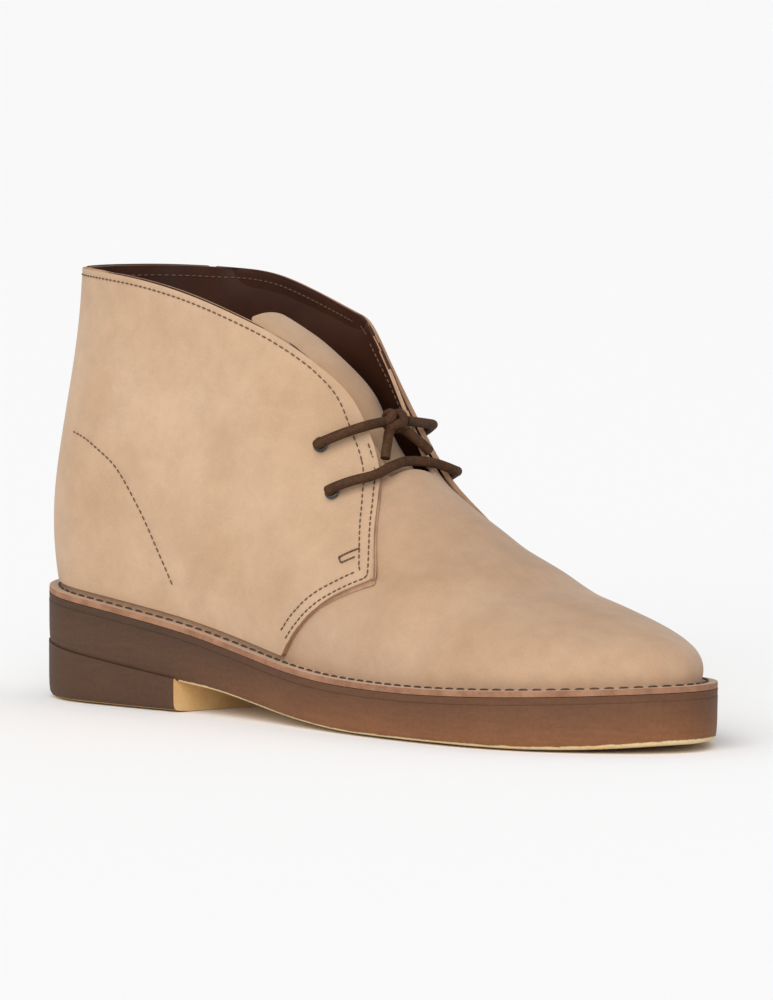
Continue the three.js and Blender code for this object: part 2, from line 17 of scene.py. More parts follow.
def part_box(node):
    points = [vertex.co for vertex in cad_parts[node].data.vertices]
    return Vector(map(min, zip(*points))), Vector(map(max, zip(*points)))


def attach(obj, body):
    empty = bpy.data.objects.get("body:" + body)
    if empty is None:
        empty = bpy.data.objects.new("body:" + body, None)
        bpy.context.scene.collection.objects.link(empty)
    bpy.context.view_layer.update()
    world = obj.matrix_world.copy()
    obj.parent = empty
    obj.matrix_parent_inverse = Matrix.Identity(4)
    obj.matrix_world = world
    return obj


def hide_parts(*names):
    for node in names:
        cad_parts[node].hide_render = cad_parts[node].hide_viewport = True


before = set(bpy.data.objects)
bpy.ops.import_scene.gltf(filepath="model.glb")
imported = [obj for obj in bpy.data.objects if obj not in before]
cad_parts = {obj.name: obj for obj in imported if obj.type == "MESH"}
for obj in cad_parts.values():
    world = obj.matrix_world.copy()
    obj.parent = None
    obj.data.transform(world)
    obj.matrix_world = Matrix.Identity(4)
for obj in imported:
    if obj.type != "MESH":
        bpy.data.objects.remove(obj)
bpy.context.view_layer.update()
MM = 0.001
AXIS = -3.2 * MM          # the boot's own middle line lies this far to the inner side
print("nodes", sorted(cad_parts))

# %% [markdown]
# ## The camera
#
# The photograph was taken with a long lens, so the sole's edges run almost parallel. The
# camera stands three metres away, 45 degrees round from the inner side towards the toe and
# 4 degrees up, rolled by half a degree. A wider lens from nearer would give stronger
# perspective, which the photograph doesn't have. The one boot fills the frame.

# %% Camera
PHOTO_HEIGHT = 1000
BOOT_AT = Vector((498.4, 719.9))     # the aim point in the photograph, in its pixels
PIXELS_PER_METRE = 1262
ZOOM = 2.3
CAMERA_RANGE = 3.0
AROUND, ABOVE, ROLL = (math.radians(a) for a in (45, 4, 0.5))
SENSOR_WIDTH = 36
aim = Vector((0, 0, 76 * MM))
backwards = Vector((
    math.sin(AROUND) * math.cos(ABOVE),
    -math.cos(AROUND) * math.cos(ABOVE),
    math.sin(ABOVE),
))
focal_pixels = PIXELS_PER_METRE * ZOOM * CAMERA_RANGE
studio_camera = bpy.data.objects.new("studio_camera", bpy.data.cameras.new("studio_camera"))
bpy.context.scene.collection.objects.link(studio_camera)
studio_camera.data.sensor_width = SENSOR_WIDTH
studio_camera.data.lens = SENSOR_WIDTH * focal_pixels / PHOTO_HEIGHT
studio_camera.data.clip_end = 200
studio_camera.rotation_mode = "QUATERNION"
studio_camera.location = aim + backwards * CAMERA_RANGE
level = (-backwards).to_track_quat("-Z", "Y")
studio_camera.rotation_quaternion = level @ Matrix.Rotation(ROLL, 3, "Z").to_quaternion()
bpy.context.scene.camera = studio_camera
print("lens", round(studio_camera.data.lens, 1), "mm")


def photo_ray(x, y):
    """Start and direction of the ray through a pixel of the photograph."""
    across = (x - BOOT_AT.x) * ZOOM
    down = (y - BOOT_AT.y) * ZOOM
    towards = studio_camera.rotation_quaternion @ Vector((across, -down, -focal_pixels))
    return studio_camera.location.copy(), towards.normalized()


# %% [markdown]
# ## Small tools
#
# A new piece is a mesh whose points are already in the frame, so its object stays at the
# origin. One function gives a mesh its object and makes it ride on the boot's only body.

# %% Pieces
SHARP = math.radians(42)
FINE_STEPS = 24            # of a smooth line, between two given points


def mesh_from(name, work):
    """A named mesh from a bmesh, smooth shaded but for its sharp edges."""
    for face in work.faces:
        face.smooth = True
    for edge in work.edges:
        edge.smooth = edge.calc_face_angle(0) < SHARP
    mesh = bpy.data.meshes.new(name)
    work.to_mesh(mesh)
    work.free()
    return mesh


def piece_from(name, work, slot, *nodes):
    """An object at the origin that rides on the boot and stands for the named nodes."""
    piece = bpy.data.objects.new(name, mesh_from(name, work))
    bpy.context.scene.collection.objects.link(piece)
    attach(piece, "root")
    if nodes:
        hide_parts(*nodes)
    return piece


def smooth_line(points, spacing):
    """Points evenly spaced along a smooth line through given ones."""
    ends = [points[0] * 2 - points[1], *points, points[-1] * 2 - points[-2]]
    fine = []
    for a, b, c, d in zip(ends, ends[1:], ends[2:], ends[3:]):
        for step in range(FINE_STEPS):
            t = step / FINE_STEPS
            fine.append(0.5 * (2 * b + (c - a) * t + (2 * a - 5 * b + 4 * c - d) * t ** 2
                               + (3 * b - a - 3 * c + d) * t ** 3))
    fine.append(points[-1].copy())
    return even_line(fine, spacing)


def even_line(fine, spacing):
    """The same line, cut into steps of nearly the spacing."""
    lengths = [(b - a).length for a, b in zip(fine, fine[1:])]
    total = sum(lengths)
    count = max(1, round(total / spacing))
    even, walked, index = [fine[0].copy()], 0.0, 0
    for step in range(1, count):
        target = total * step / count
        while walked + lengths[index] < target:
            walked += lengths[index]
            index += 1
        share = (target - walked) / lengths[index]
        even.append(fine[index].lerp(fine[index + 1], share))
    return [*even, fine[-1].copy()]


# %% [markdown]
# ## The lace's tucked ends
#
# The lace is a round waxed cord of 3.5 mm. Its two short ends come down out of the knot and
# are tucked behind the lower bar. Seen from the front they are one arch of cord with the
# knot on its crown, so one curve with a round bevel makes both, from tuck to tuck.

# %% Cord of the two ends
WELD = 0.01 * MM
ENDS_STEP = 1.4 * MM
LACE_DIAMETER = 3.5 * MM
TUCKED_MEDIAL = [(13.8, -14.6, 91.7), (13.0, -13.4, 94.3), (11.5, -11.2, 97.0), (9.2, -8.2, 100.1)]
KNOT_CENTRE = (7.2, -3.6, 102.4)
TUCKED_LATERAL = [(8.9, 0.7, 100.0), (11.3, 3.4, 97.2), (12.7, 5.6, 95.0), (13.4, 7.4, 93.0)]


def as_metres(points):
    """Vectors in metres from points in millimetres."""
    return [Vector(p) * MM for p in points]


def cord_work(name, line, radius=LACE_DIAMETER / 2):
    """A round cord along a fine line, as a bmesh."""
    curve = bpy.data.curves.new(name, "CURVE")
    curve.dimensions = "3D"
    curve.bevel_depth = radius
    curve.bevel_resolution = 5
    curve.use_fill_caps = True
    spline = curve.splines.new("POLY")
    spline.points.add(len(line) - 1)
    for spline_point, place in zip(spline.points, line):
        spline_point.co = (*place, 1)
    holder = bpy.data.objects.new(name + "_line", curve)
    bpy.context.scene.collection.objects.link(holder)
    graph = bpy.context.evaluated_depsgraph_get()
    mesh = bpy.data.meshes.new_from_object(holder.evaluated_get(graph))
    bpy.data.objects.remove(holder)
    bpy.data.curves.remove(curve)
    work = bmesh.new()
    work.from_mesh(mesh)
    bpy.data.meshes.remove(mesh)
    bmesh.ops.remove_doubles(work, verts=work.verts, dist=WELD)
    return work


ends_line = smooth_line(as_metres((*TUCKED_MEDIAL, KNOT_CENTRE, *TUCKED_LATERAL)), ENDS_STEP)
lace_ends = piece_from(
    "lace_ends", cord_work("lace_ends", ends_line), "lace", "lace_end_medial", "lace_end_lateral")

# %% [markdown]
# ## Leather and rubber with smooth skins
#
# The solids are faceted. Each soft piece starts as a copy of its solid: the loose triangles
# are merged and paired into quads, hard edges get a crease, and a Subdivision Surface
# rounds the rest. A remesh would also round it, but would lose the thin walls.

# %% Refined copies
FLAT_PAIR, SQUARE_PAIR = math.radians(35), math.radians(70)    # triangles joined to a quad
HARD = math.radians(48)                                        # edges that get a crease


def refined(node, name, levels=2, sharpness=0.9):
    """A welded, subdivided copy of a CAD node's mesh, as a bmesh in the frame."""
    work = bmesh.new()
    work.from_mesh(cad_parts[node].data)
    bmesh.ops.remove_doubles(work, verts=work.verts, dist=WELD)
    bmesh.ops.join_triangles(
        work, faces=work.faces,
        angle_face_threshold=FLAT_PAIR, angle_shape_threshold=SQUARE_PAIR,
    )
    crease = work.edges.layers.float.new("crease_edge")
    for edge in work.edges:
        if edge.calc_face_angle(0) > HARD:
            edge[crease] = sharpness
    coarse = bpy.data.meshes.new(name + "_coarse")
    work.to_mesh(coarse)
    work.free()
    holder = bpy.data.objects.new(name + "_coarse", coarse)
    bpy.context.scene.collection.objects.link(holder)
    rounding = holder.modifiers.new("rounding", "SUBSURF")
    rounding.levels = rounding.render_levels = levels
    graph = bpy.context.evaluated_depsgraph_get()
    smooth = bpy.data.meshes.new_from_object(holder.evaluated_get(graph))
    work = bmesh.new()
    work.from_mesh(smooth)
    bpy.data.objects.remove(holder)
    bpy.data.meshes.remove(coarse)
    bpy.data.meshes.remove(smooth)
    work.normal_update()
    print(name, len(work.faces), "faces")
    return work


upper_skin = refined("upper", "vamp_and_lining")
quarter_skin = refined("quarters", "quarters_outer", levels=3)
tongue_skin = refined("tongue", "tongue_leather")
outsole_skin = refined("outsole", "crepe_outsole", sharpness=1.0)
heel_skin = refined("heel", "crepe_heel", sharpness=1.0)
midsole_skin = refined("midsole", "midsole_layer", sharpness=1.0)
insole_skin = refined("insole", "insole_sock", levels=1)

# %% [markdown]
# ## The sole's own heights
#
# The sole rises towards the toe and at the waist, so "near the top of the sole" is another
# height at each place along the boot. Two small tables, read from the solids, give the top
# of the midsole and the bottom of the outsole there.

# %% Heights along the sole
TABLE_STEP = 6 * MM


def heights_of(node, sign):
    """Highest (sign 1) or lowest (sign -1) points of a node along the boot."""
    rows = {}
    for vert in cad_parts[node].data.vertices:
        step = round(vert.co.x / TABLE_STEP)
        if step not in rows or (vert.co.z - rows[step][1]) * sign > 0:
            rows[step] = (vert.co.x, vert.co.z)
    return sorted(rows.values())


def height_at(rows, x):
    """The height in a table at a place along the boot."""
    for (x0, z0), (x1, z1) in zip(rows, rows[1:]):
        if x <= x1:
            share = min(max((x - x0) / max(x1 - x0, 1e-9), 0), 1)
            return z0 + (z1 - z0) * share
    return rows[-1][1]


SOLE_TOPS = heights_of("midsole", 1)
SOLE_BOTTOMS = heights_of("outsole", -1)
FLANGE_THICKNESS = 2.1 * MM
print("sole tops", [(round(x / MM), round(z / MM, 1)) for x, z in SOLE_TOPS[::8]])

# %% [markdown]
# ## Which side of the leather a face is on
#
# Leather has a finished side, a lining side and a cut edge, and each has its own colour. A
# face knows its side from the wall's own shape: a cut edge has no second face close behind
# it, and a lining face looks towards the middle of the shoe. Below the collar the quarters
# lie on the shell, whose surface then tells their side; their flesh side isn't seen there and
# counts as cut. Painting faces by hand would do it too, but not after the solid changes.

# %% Sides of the wall
OUTER, INNER, CUT = 0, 1, 2
COLLAR_LOW, LEG_FRONT = 84 * MM, -45 * MM
SIDEWAYS, OPEN_SIDEWAYS = 0.3, 0.45          # a cut face looks less than this to the middle
SKIN = 0.05 * MM                             # depth at which a ray starts behind a face
UPPER_WALL, QUARTER_WALL, TONGUE_WALL = 4.6 * MM, 2.3 * MM, 2.6 * MM     # at the most
BACK_MIDDLE, TOE_MIDDLE = -105 * MM, 118 * MM
LEG_START, LEAST_HEIGHT = -20 * MM, 24 * MM
INSTEP_HEIGHT, INSTEP_FALL = 62 * MM, 0.27   # the middle line sinks from there to the toe
ALIKE = 0.8                                  # an outer face of the quarters looks as the shell does
FLAT = 0.6                                   # least rise of a normal on the flange's top


def mark_sides(work, wall, middle):
    """Gives each face of a walled piece the material number of its side."""
    tree = BVHTree.FromBMesh(work)
    counts = [0, 0, 0]
    for face in work.faces:
        centre = face.calc_center_median()
        behind = tree.ray_cast(centre - face.normal * SKIN, -face.normal, wall)
        inwards = (middle(centre) - centre).normalized().dot(face.normal)
        if abs(inwards) < SIDEWAYS or behind[0] is None and inwards < OPEN_SIDEWAYS:
            side = CUT
        elif inwards > 0:
            side = INNER
        else:
            side = OUTER
        face.material_index = side
        counts[side] += 1
    print("outer, inner and cut faces", counts)


def foot_middle(place):
    """A point inside the boot, near the middle of the foot or leg at the same place along it."""
    along = min(max(place.x, BACK_MIDDLE), TOE_MIDDLE)
    lift = place.z if along < LEG_START else INSTEP_HEIGHT - INSTEP_FALL * (along - LEG_START)
    return Vector((along, AXIS, max(min(place.z, lift), LEAST_HEIGHT)))


def leg_middle(place):
    """The same for the quarters, whose facings bend round the front of the leg."""
    middle = foot_middle(place)
    if place.z > COLLAR_LOW:
        middle.x = min(middle.x, LEG_FRONT)
    return middle


mark_sides(upper_skin, UPPER_WALL, foot_middle)
mark_sides(quarter_skin, QUARTER_WALL, leg_middle)
mark_sides(tongue_skin, TONGUE_WALL, lambda place: place - Vector((1, 0, 1)))
shell_tree = BVHTree.FromBMesh(upper_skin)
for face in quarter_skin.faces:
    centre = face.calc_center_median()
    if centre.z < COLLAR_LOW:
        outwards = face.normal.dot(shell_tree.find_nearest(centre)[1])
        face.material_index = OUTER if outwards > ALIKE else CUT


def over_sole(place):
    """Height above the midsole's top."""
    return place.z - height_at(SOLE_TOPS, place.x)


flange_tops = []
for face in upper_skin.faces:
    if face.normal.z > FLAT and over_sole(face.calc_center_median()) < FLANGE_THICKNESS * 1.5:
        face.material_index = OUTER
        flange_tops.append(face)
print("flange faces", len(flange_tops))

# %% [markdown]
# ## Quarters pressed on
#
# The quarters are glued and sewn to the shell under them, so no gap shows at their edges.
# The solids keep a hair of air between them; here the flesh side is pressed into the shell.

# %% Pressed quarters
PRESS = 0.45 * MM
FLESH = 0.4                # a flesh-side normal looks at least this much to the middle


def to_middle(place, normal):
    """How far a normal looks towards the middle of the foot, from -1 to 1."""
    return (foot_middle(place) - place).normalized().dot(normal)


quarter_skin.normal_update()
pressed = [vert for vert in quarter_skin.verts if to_middle(vert.co, vert.normal) > FLESH]
for vert in pressed:
    vert.co += vert.normal * PRESS
quarter_skin.normal_update()
print("pressed points", len(pressed))

# %% [markdown]
# ## Creases
#
# The boot is new, so its leather shows only soft forms: a shallow trough across the vamp
# behind the toes, a hollow beside each facing where the lace draws it in, and slack folds
# over the ankle. Each one is a line in the shoe's own millimetres with a width and a depth,
# and it moves both sides of the wall together, so the leather keeps its thickness. A texture
# bump would not change the outline.

# %% Soft troughs and ridges
REACH = 2.4                # widths from its line at which a fold has died out


def tree_of(places):
    """A tree for the nearest of many places."""
    tree = KDTree(len(places))
    for index, place in enumerate(places):
        tree.insert(place, index)
    tree.balance()
    return tree


def crease(work, line, width, depth):
    """A soft trough (or ridge, where depth is negative) along a line of points in mm."""
    path = tree_of(smooth_line(as_metres(line), 2 * MM))
    reach = width * REACH * MM
    for vert in work.verts:
        near = path.find(vert.co)[2]
        if near > reach:
            continue
        away = vert.normal.copy()
        if to_middle(vert.co, away) > 0:
            away = -away
        vert.co -= away * depth * MM * math.exp(-(near / (width * MM)) ** 2)


FOLDS = [
    # width, depth, line along the vamp and the quarters
    (8, 0.9, [(30, -42, 44), (42, -25, 60), (50, -4, 65), (44, 20, 58), (32, 40, 42)]),
    (7, -0.6, [(46, -46, 36), (58, -28, 52), (66, -4, 58), (60, 22, 50), (48, 44, 34)]),
    (6, 0.6, [(62, -44, 32), (74, -28, 45), (80, -4, 51), (76, 22, 43), (64, 42, 31)]),
    (9, 1.0, [(14, -38, 52), (6, -40, 62), (-4, -38, 76), (-14, -37, 90)]),
    (9, 1.0, [(14, 36, 52), (6, 37, 62), (-4, 34, 76), (-14, 34, 90)]),
    (10, 1.1, [(-28, -40, 66), (-44, -38, 84), (-58, -39, 104), (-66, -40, 124)]),
    (10, 1.0, [(-28, 36, 66), (-44, 34, 84), (-58, 35, 104), (-66, 36, 124)]),
    (9, -0.8, [(-52, -41, 58), (-70, -39, 74), (-84, -38, 92)]),
    (9, -0.8, [(-52, 36, 58), (-70, 34, 74), (-84, 33, 92)]),
    (8, 0.8, [(-92, -36, 64), (-108, -30, 72), (-128, -12, 76), (-132, -3, 77)]),
    (8, 0.8, [(-92, 31, 64), (-108, 25, 72), (-128, 8, 76), (-132, -3, 77)]),
]
for work in (upper_skin, quarter_skin):
    work.normal_update()
    for width, depth, line in FOLDS:
        crease(work, line, width, depth)
    work.normal_update()
print("folds", len(FOLDS))

# %% [markdown]
# ## Seams by the photograph
#
# The seams of the near side were read off the photograph as pixels. Each pixel is a ray from
# the camera, and where the ray meets the leather is a point of the seam. The far side has
# the same seams, found by looking along the shoe's width at the same length and height. So
# the seams lie on the leather from any side.

# %% Points on the leather
FAR_OUT = 200 * MM         # well outside the boot on its outer side
quarter_tree = BVHTree.FromBMesh(quarter_skin)
upper_tree = BVHTree.FromBMesh(upper_skin)


def on_leather(tree, pixels):
    """Points of the leather seen at pixels of the photograph, with their normals."""
    found = []
    for x, y in pixels:
        start, towards = photo_ray(x, y)
        place, normal, _, _ = tree.ray_cast(start, towards)
        if place is not None:
            found.append((place, normal))
    return found


def other_side(tree, places):
    """The same seam on the outer side of the boot."""
    found = []
    for place, _ in places:
        start = Vector((place.x, FAR_OUT, place.z))
        there, normal, _, _ = tree.ray_cast(start, Vector((0, -1, 0)))
        if there is not None and there.y > AXIS:
            found.append((there, normal))
    return found


COUNTER_SEAM = [
    (362, 690), (366, 692.3), (370.6, 695.9), (380.8, 706.1), (391, 724.5), (399.2, 742.9),
    (405.3, 757.1), (411.4, 775.5),
]
BAR_TACK = [(486.8, 740.8), (483.0, 742.2), (477.6, 744.8), (478.6, 747.2), (484.6, 744.6)]
counter_medial = on_leather(quarter_tree, COUNTER_SEAM)
counter_lateral = other_side(quarter_tree, counter_medial)
tack_medial = on_leather(quarter_tree, BAR_TACK)
tack_lateral = other_side(quarter_tree, tack_medial)
print("seam points", len(counter_medial), len(counter_lateral), len(tack_medial), len(tack_lateral))

# %% [markdown]
# ## Rows that follow an edge
#
# Stitches round the collar, down the facings and along the front of the quarters keep their
# distance from the cut edge. The edge is the loop between the outer faces and the cut faces.
# Each of its points is moved inwards over the surface, and points that come too near another
# part of the edge are dropped, which is how an offset row turns a corner.

# %% Edge rows
LEAST_LOOP = 20            # points; anything shorter is no edge
CLEARLY = 0.5              # how much better the other side must fit before a row goes there
CLEAR_SHARE = 0.86         # of its distance that a row's point keeps from every edge
ROW_GAP = 9 * MM           # a wider gap ends a row


def edge_loops(work, side):
    """Ordered loops of points between the faces of a side and all others."""
    links = {}
    for edge in work.edges:
        ours = [face.material_index == side for face in edge.link_faces]
        if len(ours) == 2 and ours[0] != ours[1]:
            a, b = edge.verts
            links.setdefault(a, []).append(b)
            links.setdefault(b, []).append(a)
    loops, seen = [], set()
    for first in links:
        if first in seen:
            continue
        loop, here = [first], first
        seen.add(first)
        while True:
            ahead = [v for v in links[here] if v not in seen]
            if not ahead:
                break
            here = ahead[0]
            seen.add(here)
            loop.append(here)
        loops.append(loop)
    return [loop for loop in loops if len(loop) > LEAST_LOOP]


quarter_edges = edge_loops(quarter_skin, OUTER)
lining_edges = edge_loops(upper_skin, INNER)
print("edge loops", [len(loop) for loop in quarter_edges], [len(loop) for loop in lining_edges])


def row_inside(loops, tree, side, distance):
    """(place, normal) for a row at a distance inside the loops of an edge."""
    rim_tree = tree_of([v.co for loop in loops for v in loop])
    row = []
    for loop in loops:
        last = len(loop) - 1
        for i, vert in enumerate(loop):
            wanted = distance(vert.co)
            faces = [f for f in vert.link_faces if f.material_index == side]
            if wanted is None or not faces:
                continue
            normal = sum((f.normal for f in faces), Vector()).normalized()
            centre = sum((f.calc_center_median() for f in faces), Vector()) / len(faces)
            tangent = (loop[min(i + 3, last)].co - loop[max(i - 3, 0)].co).normalized()
            for _ in range(3):
                inwards = normal.cross(tangent).normalized()
                if (centre - vert.co).dot(inwards) < 0:
                    inwards = -inwards
                here, there = [tree.find_nearest(vert.co + step) for step in
                               (inwards * wanted, -inwards * wanted)]
                fits = [hit[1].dot(normal) - hit[3] / wanted for hit in (here, there)]
                place, found = (there if fits[1] > fits[0] + CLEARLY else here)[:2]
                if found.dot(normal) > 0:
                    normal = found
            if rim_tree.find(place)[2] > wanted * CLEAR_SHARE:
                row.append((place, normal))
    return row


def split_row(row):
    """Cuts a row where neighbouring points are far apart."""
    parts, part = [], row[:1]
    for before, here in zip(row, row[1:]):
        if (here[0] - before[0]).length > ROW_GAP:
            parts.append(part)
            part = []
        part.append(here)
    parts.append(part)
    return [p for p in parts if len(p) > 3]

# %% [markdown]
# ## Stitches
#
# A stitch is a short piece of thread that dips into the leather at both ends. Each one is a
# small stretched sphere of a few dozen faces, half sunk in the surface, and a whole row is
# one joined mesh. Thread as a bump would vanish at the outline and in a close view.

# %% Stitch rows
PITCH, STITCH, THREAD = 2.5 * MM, 2.15 * MM, 0.6 * MM
TACK_PITCH, TACK_STITCH, TACK_THREAD = 1.2 * MM, 1.35 * MM, 0.7 * MM
ABOVE_FLANGE = 9 * MM      # seams end this far above the midsole
COLLAR_INSET, FACING_MORE = 2.3, 3.2
FACING_TOP, FACING_FALL = 126 * MM, 24 * MM
SHORT_INSET, SHORT_BACK, SHORT_TOP = 1.7 * MM, -12 * MM, 98 * MM
RIM_INSET = 3.6 * MM
APART = PITCH * 0.6        # two stitches nearer than this are one


def resample(row, pitch):
    """Evenly spaced places with normals and directions along a row."""
    if len(row) < 2:
        return []
    even = even_line([place for place, _ in row], pitch)
    out = []
    for a, b in zip(even, even[1:]):
        middle = (a + b) / 2
        normal = min(row, key=lambda entry: (entry[0] - middle).length)[1]
        out.append((middle, normal, (b - a).normalized()))
    return out


stitch_work = bmesh.new()
bmesh.ops.create_uvsphere(stitch_work, u_segments=6, v_segments=5, radius=1)
one_stitch = mesh_from("one_stitch", stitch_work)


def add_stitches(work, places, length, width, sink=0.15):
    """Adds one stitch for each place to a bmesh."""
    for place, normal, along in places:
        across = normal.cross(along).normalized()
        up = along.cross(across).normalized()
        turn = Matrix((along, across, up)).transposed().to_4x4()
        size = Matrix.Diagonal((length / 2, width / 2, width / 2, 1))
        matrix = Matrix.Translation(place + normal * width * sink) @ turn @ size
        before = len(work.verts)
        work.from_mesh(one_stitch)
        work.verts.ensure_lookup_table()
        for vert in work.verts[before:]:
            vert.co = matrix @ vert.co


def front_of(place):
    """How far a point of the quarters' edge is down the facing, from 0 to 1."""
    if place.x < LEG_FRONT:
        return 0.0
    return min(max((FACING_TOP - place.z) / FACING_FALL, 0), 1)


def long_row(place):
    """The row that runs along the collar and widens down the facing."""
    if over_sole(place) < ABOVE_FLANGE:
        return None
    share = front_of(place)
    return (COLLAR_INSET + FACING_MORE * share * share * (3 - 2 * share)) * MM


def short_row(place):
    """The second row, close to the front edge of the quarters."""
    low = over_sole(place) < ABOVE_FLANGE
    return None if low or place.x < SHORT_BACK or place.z > SHORT_TOP else SHORT_INSET


def rim_row(place):
    """The row below the collar's edge, seen on the lining."""
    return RIM_INSET if place.z > COLLAR_LOW else None


thread_work = bmesh.new()
seam_places = []
for wanted in (long_row, short_row):
    for part in split_row(row_inside(quarter_edges, quarter_tree, OUTER, wanted)):
        for place, normal, along in resample(part, PITCH):
            if all((place - other[0]).length > APART for other in seam_places):
                seam_places.append((place, normal, along))
for row in (counter_medial, counter_lateral):
    dense = smooth_line([place for place, _ in row], 1 * MM)
    seam_places += resample([quarter_tree.find_nearest(p)[:2] for p in dense], PITCH)
add_stitches(thread_work, seam_places, STITCH, THREAD, sink=-0.1)
for row in (tack_medial, tack_lateral):
    for a, b in zip(row, row[1:]):
        tack_places = resample([a, b], TACK_PITCH)
        seam_places += tack_places
        add_stitches(thread_work, tack_places, TACK_STITCH, TACK_THREAD)
rim_places = []
for part in split_row(row_inside(lining_edges, upper_tree, INNER, rim_row)):
    rim_places += resample(part, PITCH)
add_stitches(thread_work, rim_places, STITCH, THREAD)
seam_thread = piece_from("seam_thread", thread_work, "nubuck")
print("seam stitches", len(seam_places), "and on the lining", len(rim_places))

# %% [markdown]
# ## Stitches of the flange
#
# The upper is turned outwards at its foot and stitched down through the midsole, which is
# what makes this kind of boot. The stitches are longer than those of the seams and lie in
# the corner between the flange and the wall. They follow the feather line, found as the
# loop of the flange's outer edge moved inwards.

# %% Flange row
FLANGE_INSET, RIM_STEP = 3.3 * MM, 3 * MM
FLANGE_PITCH, FLANGE_STITCH, FLANGE_THREAD = 4.9 * MM, 3.9 * MM, 0.95 * MM
TOWARDS = 0.65             # share of its own length at which a rim point looks to the axis
LOOK_DOWN, SAME_LEVEL = 5 * MM, 2 * MM
UP = Vector((0, 0, 1))


def flange_row():
    """Places on the flange's top, inset from its outer edge, all the way round."""
    outer = {
        vert for face in flange_tops for edge in face.edges for vert in edge.verts
        if any(other.material_index == CUT for other in edge.link_faces)
    }
    rim = sorted((vert.co.copy() for vert in outer), key=lambda co: math.atan2(co.y - AXIS, co.x))
    rim.append(rim[0].copy())
    even = even_line(rim, RIM_STEP)[:-1]
    row = []
    for i, place in enumerate(even):
        ahead = (even[(i + 1) % len(even)] - even[i - 1]).normalized()
        inwards = UP.cross(ahead).normalized()
        if inwards.dot(Vector((place.x * TOWARDS, AXIS, 0)) - Vector((place.x, place.y, 0))) < 0:
            inwards = -inwards
        inside = place + inwards * FLANGE_INSET
        below = upper_tree.ray_cast(inside + UP * LOOK_DOWN, -UP)[0]
        if below is not None and abs(below.z - place.z) < SAME_LEVEL:
            inside.z = below.z
        row.append((inside, UP))
    row.append(row[0])
    return row


flange_work = bmesh.new()
flange_places = resample(flange_row(), FLANGE_PITCH)
add_stitches(flange_work, flange_places, FLANGE_STITCH, FLANGE_THREAD, sink=0.2)
flange_thread = piece_from("flange_thread", flange_work, "nubuck")
print("flange stitches", len(flange_places))

# %% [markdown]
# ## The leather pieces
#
# The skins are finished, so they become objects that stand for their solids. The stitches
# pull the leather down a little: every seam gets a narrow groove before that. The quarters
# cover the shell's outer face round the leg. Where that face shows through their inside by a
# hair's breadth, it counts as lining too.

# %% Grooves and objects
LEG_LOW, COVERED = 104 * MM, -0.5          # above this, shell faces that look outwards
GROOVE_WIDTH, GROOVE_DEPTH = 1.1 * MM, 0.3 * MM
GROOVE_REACH, SAME_SIDE = 2.2, 0.3         # in widths, and how alike the normals have to be
COLLAR_CUT, FLANGE_TOP = 3, 12 * MM        # cut faces above the flange are the collar's
for face in upper_skin.faces:
    centre = face.calc_center_median()
    if centre.z > LEG_LOW and to_middle(centre, face.normal) < COVERED:
        face.material_index = INNER
    if face.material_index == CUT and over_sole(centre) > FLANGE_TOP:
        face.material_index = COLLAR_CUT


def groove(work, places):
    """Presses a narrow groove into the side of the wall that the places lie on."""
    tree = tree_of([place for place, *_ in places])
    moved = 0
    for vert in work.verts:
        _, index, near = tree.find(vert.co)
        normal = places[index][1]
        if near < GROOVE_WIDTH * GROOVE_REACH and vert.normal.dot(normal) > SAME_SIDE:
            vert.co -= normal * GROOVE_DEPTH * math.exp(-(near / GROOVE_WIDTH) ** 2)
            moved += 1
    work.normal_update()
    print("groove points", moved)


groove(quarter_skin, seam_places)
tongue_tree = BVHTree.FromBMesh(tongue_skin)
vamp_and_lining = piece_from("vamp_and_lining", upper_skin, "nubuck", "upper")
quarters_outer = piece_from("quarters_outer", quarter_skin, "nubuck", "quarters")
tongue_leather = piece_from("tongue_leather", tongue_skin, "nubuck", "tongue")
insole_sock = piece_from("insole_sock", insole_skin, "insole", "insole")

# %% [markdown]
# ## The crepe sole
#
# Crepe is sheets of natural rubber, glued and sanded. Its side is painted brown and its
# tread stays cream. The two blocks keep their solids' forms; what the photograph shows more
# is where the paint ends, so the tread and the heel's breast are marked as bare crepe, and
# the paint itself stops just above the forefoot's lower edge.

# %% Sole blocks
PAINTED, BARE = 0, 1
DOWNWARDS, FORWARDS, ASIDE = -0.9, 0.9, 0.3    # how a bare face looks
RISING, SIDELONG = 0.3, 0.3                   # how a point of a layer's upper edge looks
PROUD = 0.06 * MM
BREAST, PAINTED_DOWN = -63 * MM, 0.12      # over the heel the paint covers the chamfer too


def mark_crepe(work, breast=False):
    """Side faces and chamfers are painted; tread and breast are bare."""
    for face in work.faces:
        bare = face.normal.z < DOWNWARDS
        if breast and face.normal.x > FORWARDS and abs(face.normal.y) < ASIDE:
            bare = True
        face.material_index = BARE if bare else PAINTED


def close_joint(work, lift):
    """Draws a layer's top up over the joint with the next layer, so that no dark gap shows."""
    work.normal_update()
    for vert in [v for v in work.verts if v.normal.z > RISING]:
        outwards = Vector((vert.normal.x, vert.normal.y, 0))
        vert.co.z += lift
        if outwards.length > SIDELONG:
            vert.co += outwards.normalized() * PROUD


def mark_height(work):
    """Keeps each point's share of the sole's height, from tread to flange, for the paint."""
    share = work.verts.layers.float.new("sole_height")
    for vert in work.verts:
        low = height_at(SOLE_BOTTOMS, vert.co.x)
        high = height_at(SOLE_TOPS, vert.co.x)
        least = PAINTED_DOWN if vert.co.x < BREAST else 0
        vert[share] = max((vert.co.z - low) / (high - low), least)


